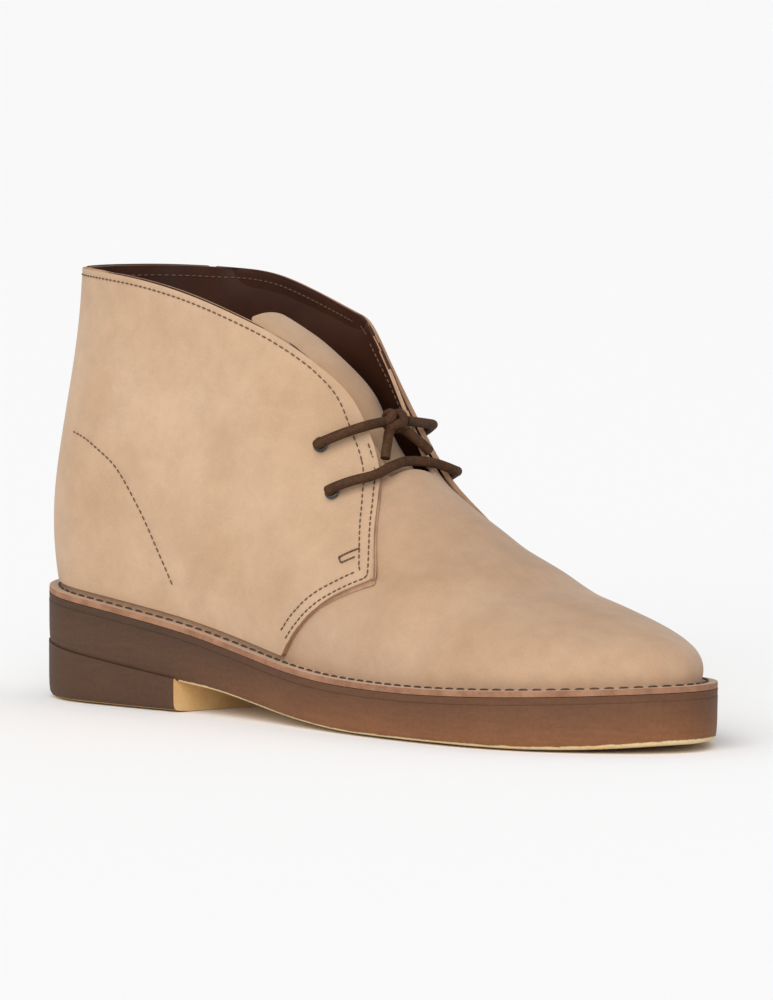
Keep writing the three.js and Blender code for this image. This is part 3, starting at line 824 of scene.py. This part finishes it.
for work, lift in ((outsole_skin, 0.9), (heel_skin, 2.0), (midsole_skin, 0.15)):
    close_joint(work, lift * MM)
    mark_height(work)
mark_crepe(outsole_skin)
mark_crepe(heel_skin, breast=True)
crepe_outsole = piece_from("crepe_outsole", outsole_skin, "crepe", "outsole")
crepe_heel = piece_from("crepe_heel", heel_skin, "crepe", "heel")
midsole_layer = piece_from("midsole_layer", midsole_skin, "midsole", "midsole")
print("sole blocks made")

# %% [markdown]
# ## Eyelets
#
# An eyelet is a tube of blackened brass, rolled outwards over the leather. Its section is a
# short curve, spun once round the eyelet's axis. Where the axis is comes from the solid: its
# middle, and the direction in which it is thinnest.

# %% Spun eyelets
EYELET_SECTION = [
    # radius, height
    (1.05, -2.2), (1.05, 0.1), (1.2, 0.45), (1.6, 0.72), (2.1, 0.72), (2.55, 0.45), (2.7, 0.0),
    (2.55, -0.25),
]


def eyelet_axis(name):
    """Centre and outward axis of an eyelet's solid."""
    work = bmesh.new()
    work.from_mesh(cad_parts[name].data)
    bmesh.ops.remove_doubles(work, verts=work.verts, dist=WELD)
    low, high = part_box(name)
    centre = (low + high) / 2
    widest = max(work.faces, key=lambda f: f.calc_area() * (f.normal.length > 0.5))
    flat = Vector()
    for face in work.faces:
        if face.normal.dot(widest.normal) > 0.999:
            flat += face.normal * face.calc_area()
    work.free()
    axis = flat.normalized()
    if axis.dot(centre - foot_middle(centre)) < 0:
        axis = -axis
    return centre, axis


def spun_eyelet(name):
    """A rolled eyelet in place of its solid."""
    centre, axis = eyelet_axis(name)
    work = bmesh.new()
    verts = [work.verts.new((r * MM, 0, h * MM)) for r, h in EYELET_SECTION]
    edges = [work.edges.new(pair) for pair in zip(verts, verts[1:])]
    bmesh.ops.spin(
        work, geom=verts + edges, cent=(0, 0, 0), axis=(0, 0, 1), angle=math.tau, steps=32,
        use_merge=True,
    )
    bmesh.ops.remove_doubles(work, verts=work.verts, dist=WELD)
    bmesh.ops.recalc_face_normals(work, faces=work.faces)
    turn = axis.to_track_quat("Z", "Y").to_matrix().to_4x4()
    bmesh.ops.transform(work, matrix=Matrix.Translation(centre) @ turn, verts=work.verts)
    return piece_from("rolled_" + name, work, "eyelet", name), centre, axis


eyelet_names = [n for n in sorted(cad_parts) if n.startswith("eyelet_")]
eyelets = {name: spun_eyelet(name) for name in eyelet_names}
for name, (_, centre, axis) in eyelets.items():
    print(name, [round(c / MM, 1) for c in centre], [round(a, 2) for a in axis])

# %% [markdown]
# ## The lace
#
# The lace comes up out of an eyelet, bends over the facing's edge and crosses the throat. The
# lower bar is one run of cord, the upper one two runs that meet in the knot. A round bevel on
# a smooth curve gives the cord, as it did for the ends.

# %% Lace runs
RUN_STEP = 1.1 * MM
EYELET_RISE = (-3.0, 0.4, 2.3)     # mm from an eyelet's middle, out through it
BAR_LOWER = [(10.6, -28.09, 84.2), (15.9, -21.68, 86.4), (15.6, -12.5, 89.2), (14.0, -3.22, 90.3),
             (14.4, 8.5, 89.2), (14.64, 18.71, 86.2), (8.44, 25.37, 85.16)]
BAR_MEDIAL = [(3.24, -25.41, 99.91), (8.23, -17.98, 102.76), (6.9, -8.6, 103.66)]
BAR_LATERAL = [(-0.91, 22.74, 100.76), (3.29, 17.74, 101.75), (6.9, 2.2, 103.66)]


def out_of_eyelet(name):
    """Points of a lace that comes up through an eyelet, from under the leather."""
    _, centre, axis = eyelets[name]
    return [centre + axis * h * MM for h in EYELET_RISE]


def lace_run(name, points, *nodes, radius=LACE_DIAMETER / 2):
    """A run of lace along a smooth line through points."""
    work = cord_work(name, smooth_line(points, RUN_STEP), radius)
    return piece_from(name, work, "lace", *nodes)


lower_points = [*out_of_eyelet("eyelet_medial_lower"), *as_metres(BAR_LOWER),
                *reversed(out_of_eyelet("eyelet_lateral_lower"))]
medial_points = [*out_of_eyelet("eyelet_medial_upper"), *as_metres(BAR_MEDIAL)]
lateral_points = [*out_of_eyelet("eyelet_lateral_upper"), *as_metres(BAR_LATERAL)]
leather = (quarter_tree, upper_tree, tongue_tree)
bar_line = smooth_line(as_metres(BAR_LOWER), RUN_STEP)
nearest = [min(tree.find_nearest(place)[3] for tree in leather) for place in bar_line]
print("lower bar over the leather, mm",
      [round((near - LACE_DIAMETER / 2) / MM, 1) for near in nearest[::4]])
lace_lower = lace_run("lace_lower", lower_points, "lace_bar_lower")
lace_upper_medial = lace_run("lace_upper_medial", medial_points, "lace_bar_upper_medial")
lace_upper_lateral = lace_run("lace_upper_lateral", lateral_points, "lace_bar_upper_lateral")
print("lace runs made")

# %% [markdown]
# ## The knot
#
# The knot is small and tight: the lace turns twice round itself and crosses its own turns.
# One cord through given points gives the crossing turns that a plain ball lacks. It
# stays near the solid's egg shape.

# %% Knot of crossed turns
KNOT_MIDDLE = Vector((6.9, -3.2, 103.7)) * MM
KNOT_TURNS = [
    # across, towards the toe, up, in mm from the middle
    (-4.6, -0.6, -0.8), (-3.6, 1.8, 0.9), (-2.5, 1.3, 2.3), (-1.6, -1.5, 1.9), (-1.3, -2.3, -0.6),
    (-0.9, -0.4, -2.3), (-0.1, 2.3, -1.5), (0.6, 3.0, 0.8), (1.3, 1.0, 2.2), (2.0, -1.6, 1.6),
    (2.2, -2.2, -0.8), (1.6, 0.3, -2.2), (0.4, 2.9, -1.3), (-1.2, 3.2, -0.4), (-3.0, 2.2, -1.4),
    (-3.8, 0.2, -2.0),
]
KNOT_LACE = 1.75 * MM
KNOT_SWELL = 1.14          # the turns, let out to the photograph's size
knot_points = [
    KNOT_MIDDLE + Vector((ahead, across, up)) * MM * KNOT_SWELL for across, ahead, up in KNOT_TURNS
]
lace_knot_turns = lace_run("lace_knot_turns", knot_points, "lace_knot", radius=KNOT_LACE)
print("knot made")

# %% [markdown]
# ## Making a finish
#
# Every finish is a node tree on the Principled shader. One function adds a node with its
# settings and links, and one turns an sRGB hex colour into Blender's linear values, because
# the colours were read off the photograph as hex.

# %% Node helpers
MIX = {"data_type": "RGBA", "blend_type": "MIX", "out": 2}
MULTIPLY = {**MIX, "blend_type": "MULTIPLY"}


def linear(hex_colour):
    """sRGB hex to linear RGBA."""
    parts = [int(hex_colour[i:i + 2], 16) / 255 for i in (1, 3, 5)]
    return (*(p / 12.92 if p <= 0.04045 else ((p + 0.055) / 1.055) ** 2.4 for p in parts), 1)


def grey(level):
    """A linear grey."""
    return (level, level, level, 1)


def add_node(tree, kind, inputs, stops=(), out=0, **settings):
    """Adds a node and returns one of its outputs.

    An input that is a socket is linked, any other is a value. The stops of a colour ramp are
    (position, colour).
    """
    node = tree.nodes.new("ShaderNode" + kind)
    for key, value in settings.items():
        setattr(node, key, value)
    for key, value in inputs.items():
        if isinstance(value, bpy.types.NodeSocket):
            tree.links.new(value, node.inputs[key])
        else:
            node.inputs[key].default_value = value
    if stops:
        elements = node.color_ramp.elements
        while len(elements) < len(stops):
            elements.new(0.5)
        for element, (position, colour) in zip(elements, stops):
            element.position = position
            element.color = colour
    return node.outputs[out]


def sized(place, size_mm, detail=3, roughness=0.55, **others):
    """Inputs of a noise whose blotches are about size_mm across."""
    return {"Vector": place, "Scale": 1000 / size_mm, "Detail": detail,
            "Roughness": roughness, **others}


def new_finish(name, **sockets):
    """A Principled finish, its tree, its shader and its object coordinates in metres."""
    finish = bpy.data.materials.new(name)
    finish.use_nodes = True
    tree = finish.node_tree
    shader = tree.nodes["Principled BSDF"]
    for key, value in sockets.items():
        shader.inputs[key.replace("_", " ")].default_value = value
    return finish, tree, shader, add_node(tree, "TexCoord", {}, out="Object")


def surface(tree, shader, colour, *bumps):
    """Gives a shader its colour and its bumps, each one (height, strength, depth in mm)."""
    tree.links.new(colour, shader.inputs["Base Color"])
    below = {}
    for height, strength, depth in bumps:
        below = {"Normal": add_node(tree, "Bump", {
            "Height": height, "Strength": strength, "Distance": depth * MM, **below})}
    for normal in below.values():
        tree.links.new(normal, shader.inputs["Normal"])

# %% [markdown]
# ## Nubuck
#
# Nubuck is cowhide sanded on the grain side to a short nap. It reflects no highlight; the nap
# catches light at grazing angles, which is sheen, and lies in different directions, which
# gives lighter and darker clouds of a few centimetres. A fine noise of about half a
# millimetre is the nap itself, coarser than the real fibre so that it shows.

# %% Nubuck finish
def nubuck(name, base, light, dark, nap=0.22):
    """Sanded cowhide in three tones of one colour."""
    finish, tree, shader, place = new_finish(
        name, Roughness=0.92, Sheen_Weight=0.15, Sheen_Roughness=0.5, Specular_IOR_Level=0.2)
    clouds = add_node(tree, "TexNoise", sized(place, 40, 3, 0.5, Distortion=0.3))
    brushed = add_node(tree, "TexNoise", sized(place, 7, 4, 0.6))
    fibres = add_node(tree, "TexNoise", sized(place, 0.6, 3, 0.7))
    tone = add_node(tree, "ValToRGB", {0: clouds}, [
        (0.30, linear(dark)), (0.50, linear(base)), (0.72, linear(light))])
    marks = add_node(tree, "ValToRGB", {0: brushed}, [(0.30, grey(0.92)), (0.65, grey(1.04))])
    specks = add_node(tree, "ValToRGB", {0: fibres}, [(0.28, grey(0.84)), (0.70, grey(1.08))])
    marked = add_node(tree, "Mix", {0: 0.8, 6: tone, 7: marks}, **MULTIPLY)
    napped = add_node(tree, "Mix", {0: 0.5, 6: marked, 7: specks}, **MULTIPLY)
    surface(tree, shader, napped, (brushed, 0.15, 0.5), (fibres, nap, 0.15))
    return finish


sand_nubuck = nubuck("sand_nubuck", "#bd9d7f", "#c4a588", "#b59475")
# The vamp takes the quarters' nubuck in a darker copy: painted shade on the sloping vamp.
vamp_nubuck_painted_shade = nubuck("vamp_nubuck_painted_shade", "#b59477", "#bc9c80", "#ad8b6d")
# The tongue takes the same nubuck, darker and greyer: painted shade where the tongue leans back
# into the throat.
tongue_nubuck_painted_shade = nubuck("tongue_nubuck_painted_shade", "#b49273", "#bd9d80", "#a88566", nap=0.35)
print("nubuck made")

# %% [markdown]
# ## Lining and cut edges
#
# The lining is smooth pigskin, dyed dark brown, with a faint gloss and a fine grain. A cut
# edge shows the undyed middle of the hide: paler and pinker than the nap, and rough.

# %% Lining and edge finishes
def lining():
    """Dyed pigskin."""
    finish, tree, shader, place = new_finish("brown_lining", Specular_IOR_Level=0.25)
    pores = add_node(tree, "TexVoronoi", {"Vector": place, "Scale": 1000 / 1.1})
    clouds = add_node(tree, "TexNoise", sized(place, 22, 4))
    tone = add_node(tree, "ValToRGB", {0: clouds}, [
        (0.3, linear("#33180c")), (0.7, linear("#432313"))])
    gloss = add_node(tree, "MapRange", {"Value": clouds, "To Min": 0.48, "To Max": 0.66})
    tree.links.new(gloss, shader.inputs["Roughness"])
    surface(tree, shader, tone, (pores, 0.15, 0.1))
    return finish


def cut_edge(name, base, dark):
    """The rough, undyed middle of a hide."""
    finish, tree, shader, place = new_finish(name, Roughness=0.9)
    fibres = add_node(tree, "TexNoise", sized(place, 0.8, 4, 0.7))
    blotches = add_node(tree, "TexNoise", sized(place, 7))
    tone = add_node(tree, "ValToRGB", {0: blotches}, [(0.35, linear(dark)), (0.65, linear(base))])
    rough = add_node(tree, "ValToRGB", {0: fibres}, [(0.3, grey(0.75)), (0.7, grey(1.1))])
    frayed = add_node(tree, "Mix", {0: 0.6, 6: tone, 7: rough}, **MULTIPLY)
    surface(tree, shader, frayed, (fibres, 0.4, 0.2))
    return finish


brown_lining = lining()
quarter_edge_finish = cut_edge("quarter_cut_edge", "#b38f72", "#9c785c")
flange_edge_finish = cut_edge("flange_cut_edge", "#a2765a", "#8a6046")
print("lining and edges made")

# %% [markdown]
# ## Crepe rubber
#
# Painted crepe keeps the rubber's pebbled skin under a thin brown stain. The brown is greyer
# and darker at the heel and near the top, and warmer towards the floor. Fine streaks run along
# the side. Just above the tread the paint ends in a ragged line and leaves a cream edge. Bare
# crepe is cream with soft mottling. The pebbles are about a millimetre.

# %% Crepe finishes
TONES_AT = (0.08, 0.45, 0.88)                # shares of the sole's height, from the tread up


def painted_crepe(name, forefoot, heel):
    """Stained crepe; forefoot and heel have their colours from the tread upwards."""
    finish, tree, shader, place = new_finish(name, Roughness=0.68, Specular_IOR_Level=0.22)
    height = add_node(tree, "Attribute", {}, attribute_name="sole_height", out="Fac")
    wobble = add_node(tree, "TexNoise", sized(place, 26))
    uneven = add_node(tree, "Math", {0: wobble, 1: 0.5, 2: -0.25}, operation="MULTIPLY_ADD")
    level = add_node(tree, "Math", {0: height, 1: uneven}, operation="ADD")
    warm, dull = [
        add_node(tree, "ValToRGB", {0: level}, [(at, linear(c)) for at, c in zip(TONES_AT, tones)])
        for tones in (forefoot, heel)
    ]
    along = add_node(tree, "SeparateXYZ", {"Vector": place})
    forward = add_node(tree, "MapRange", {
        "Value": along, "From Min": -70 * MM, "From Max": 20 * MM})
    painted = add_node(tree, "Mix", {0: forward, 6: dull, 7: warm}, **MIX)
    ragged = add_node(tree, "TexNoise", sized(place, 3))
    edge = add_node(tree, "Math", {0: ragged, 1: -0.05, 2: 0.025}, operation="MULTIPLY_ADD")
    edge_level = add_node(tree, "Math", {0: height, 1: edge}, operation="ADD")
    bare = add_node(tree, "ValToRGB", {0: edge_level}, [(0.085, grey(1)), (0.105, grey(0))])
    tone = add_node(tree, "Mix", {0: bare, 6: painted, 7: linear("#e2c99c")}, **MIX)
    flow = add_node(tree, "Mapping", {"Vector": place, "Scale": (0.12, 0.12, 1.0)})
    streaks, pebbles = sized(flow, 1.6, 4, 0.65), sized(place, 1.3, 3, 0.6)
    for pattern, start, end in ((streaks, 0.3, 0.68), (pebbles, 0.32, 0.66)):
        grains = add_node(tree, "TexNoise", pattern)
        shade = add_node(tree, "ValToRGB", {0: grains}, [(start, grey(0.76)), (end, grey(1.12))])
        tone = add_node(tree, "Mix", {0: 0.4, 6: tone, 7: shade}, **MULTIPLY)
    surface(tree, shader, tone, (grains, 0.3, 0.3))
    return finish


def bare_crepe(name, base, dark):
    """Natural crepe, a little translucent."""
    finish, tree, shader, place = new_finish(
        name, Roughness=0.6, Subsurface_Weight=0.08, Subsurface_Scale=0.5,
        Subsurface_Radius=(0.004, 0.0025, 0.001))
    clouds = add_node(tree, "TexNoise", sized(place, 18, 4))
    pebbles = add_node(tree, "TexNoise", sized(place, 1.4, 3, 0.6))
    tone = add_node(tree, "ValToRGB", {0: clouds}, [(0.3, linear(dark)), (0.65, linear(base))])
    shade = add_node(tree, "ValToRGB", {0: pebbles}, [(0.32, grey(0.8)), (0.66, grey(1.08))])
    speckled = add_node(tree, "Mix", {0: 0.3, 6: tone, 7: shade}, **MULTIPLY)
    surface(tree, shader, speckled, (pebbles, 0.3, 0.3))
    return finish


stained_crepe = painted_crepe(
    "stained_crepe", ("#855738", "#744d34", "#63432f"), ("#523a2a", "#543c2c", "#4c3729"))
cream_crepe = bare_crepe("cream_crepe", "#e8c48c", "#d4a86c")
print("crepe made")

# %% [markdown]
# ## Lace, thread and eyelets
#
# The lace is waxed cotton, braided round, and its braid is cells of just under a millimetre.
# The thread is waxed polyester, brown. The eyelets are blackened brass; the lighter cold grey
# on their most curved rims is a painted glint.

# %% Cord, thread and metal finishes
def waxed_lace():
    """Braided cotton, with cells that stand out, painted shade in the grooves between them, and
    fluff over them.
    """
    finish, tree, shader, place = new_finish(
        "waxed_brown_lace", Roughness=0.7, Specular_IOR_Level=0.2)
    fluff = add_node(tree, "TexNoise", sized(place, 0.5, 3, 0.7))
    weave = add_node(tree, "TexVoronoi", {"Vector": place, "Scale": 1000 / 0.9})
    clouds = add_node(tree, "TexNoise", sized(place, 4))
    # Tone: the cord's own dark brown, made darker still as painted shade, matching the shaded mass
    # of the knot.
    tone = add_node(tree, "ValToRGB", {0: clouds}, [
        (0.3, linear("#3f2817")), (0.7, linear("#54361f"))])
    # Painted shade and highlight: the grooves between braid cells are darker and the cell tops
    # lighter.
    braid_groove_shade = add_node(tree, "ValToRGB", {0: weave}, [(0.1, grey(1.2)), (0.6, grey(0.7))])
    braided = add_node(tree, "Mix", {0: 0.7, 6: tone, 7: braid_groove_shade}, **MULTIPLY)
    raised = add_node(tree, "Math", {0: 1.0, 1: weave}, operation="SUBTRACT")
    surface(tree, shader, braided, (raised, 0.6, 0.25), (fluff, 0.25, 0.1))
    return finish


def thread_finish(name, base, dark):
    """Waxed thread with its strands."""
    finish, tree, shader, place = new_finish(name, Roughness=0.6)
    strands = add_node(tree, "TexNoise", sized(place, 0.5, 2))
    tone = add_node(tree, "ValToRGB", {0: strands}, [(0.3, linear(dark)), (0.7, linear(base))])
    surface(tree, shader, tone, (strands, 0.3, 0.1))
    return finish


def blackened_brass():
    """Dark metal, with a painted glint: lighter where it is most curved."""
    finish, tree, shader, place = new_finish("blackened_brass", Metallic=1.0)
    # Painted highlight: the most curved rims are coloured a lighter cold grey, as a glint.
    rim_glint_painted = add_node(tree, "NewGeometry", {}, out="Pointiness")
    patches = add_node(tree, "TexNoise", sized(place, 1.2))
    tone = add_node(tree, "ValToRGB", {0: rim_glint_painted}, [
        (0.48, linear("#1f1c1c")), (0.58, linear("#57555b"))])
    shade = add_node(tree, "ValToRGB", {0: patches}, [(0.3, grey(0.7)), (0.7, grey(1.2))])
    gloss = add_node(tree, "MapRange", {"Value": patches, "To Min": 0.28, "To Max": 0.5})
    tree.links.new(gloss, shader.inputs["Roughness"])
    surface(tree, shader, add_node(tree, "Mix", {0: 0.4, 6: tone, 7: shade}, **MULTIPLY))
    return finish


lace_finish = waxed_lace()
seam_finish = thread_finish("brown_seam_thread", "#6b4b35", "#4e3424")
flange_thread_finish = thread_finish("dark_flange_thread", "#4a3526", "#2c1d14")
eyelet_finish = blackened_brass()
print("cord, thread and metal made")

# %% [markdown]
# ## Insole, and every piece in its finish
#
# The sock that covers the insole is brown leather, smooth from polishing, and seen only from
# above. Then each piece takes its finishes, in the order of the numbers that its faces got
# when their sides were marked.

# %% Insole finish and dressing
insole_finish = cut_edge("insole_leather", "#8c6a4c", "#6d5039")
DRESS = [
    (vamp_and_lining, vamp_nubuck_painted_shade, brown_lining, flange_edge_finish, quarter_edge_finish),
    (quarters_outer, sand_nubuck, brown_lining, quarter_edge_finish),
    (tongue_leather, tongue_nubuck_painted_shade, brown_lining, quarter_edge_finish),
    (insole_sock, insole_finish),
    (crepe_outsole, stained_crepe, cream_crepe),
    (crepe_heel, stained_crepe, cream_crepe),
    (midsole_layer, stained_crepe),
    (seam_thread, seam_finish),
    (flange_thread, flange_thread_finish),
    *[(eyelet_piece, eyelet_finish) for eyelet_piece, _, _ in eyelets.values()],
    *[(lace_piece, lace_finish) for lace_piece in (
        lace_ends, lace_lower, lace_upper_medial, lace_upper_lateral, lace_knot_turns)],
]
for piece, *finishes in DRESS:
    for finish in finishes:
        piece.data.materials.append(finish)
print("pieces dressed", len(DRESS))

# %% [markdown]
# ## Floor and light
#
# A large pale floor and a white world give the plain studio of the photograph, and a wide
# soft sun from the camera's side shapes the leather. A curved backdrop would stand in the way
# of views from behind. The Standard view shows the finishes' colours as they were read off
# the photograph, and the floor as its white ground.

# %% Stage
FLOOR_ALBEDO, WORLD_STRENGTH = 0.97, 0.64
FLOOR_HALF, FLOOR_BELOW = 60, 0.1 * MM
floor_work = bmesh.new()
bmesh.ops.create_grid(floor_work, x_segments=1, y_segments=1, size=FLOOR_HALF)
bmesh.ops.translate(floor_work, verts=floor_work.verts, vec=(0, 0, -FLOOR_BELOW))
floor_mesh = bpy.data.meshes.new("studio_floor")
floor_work.to_mesh(floor_mesh)
floor_work.free()
studio_floor = bpy.data.objects.new("studio_floor", floor_mesh)
bpy.context.scene.collection.objects.link(studio_floor)
studio_floor.data.materials.append(
    new_finish("matt_white_floor", Roughness=0.9, Base_Color=grey(FLOOR_ALBEDO))[0])

world = bpy.data.worlds.new("studio_world")
world.use_nodes = True
background = world.node_tree.nodes["Background"]
background.inputs["Color"].default_value = grey(1)
background.inputs["Strength"].default_value = WORLD_STRENGTH
bpy.context.scene.world = world

sun = bpy.data.lights.new("key_light", "SUN")
sun.energy = 2.1
sun.angle = math.radians(50)
key_light = bpy.data.objects.new("key_light", sun)
key_light.rotation_mode = "QUATERNION"
key_light.rotation_quaternion = Vector((-0.4, 0.75, -0.53)).to_track_quat("-Z", "Y")
bpy.context.scene.collection.objects.link(key_light)
bpy.context.scene.view_settings.view_transform = "Standard"
print("stage set")
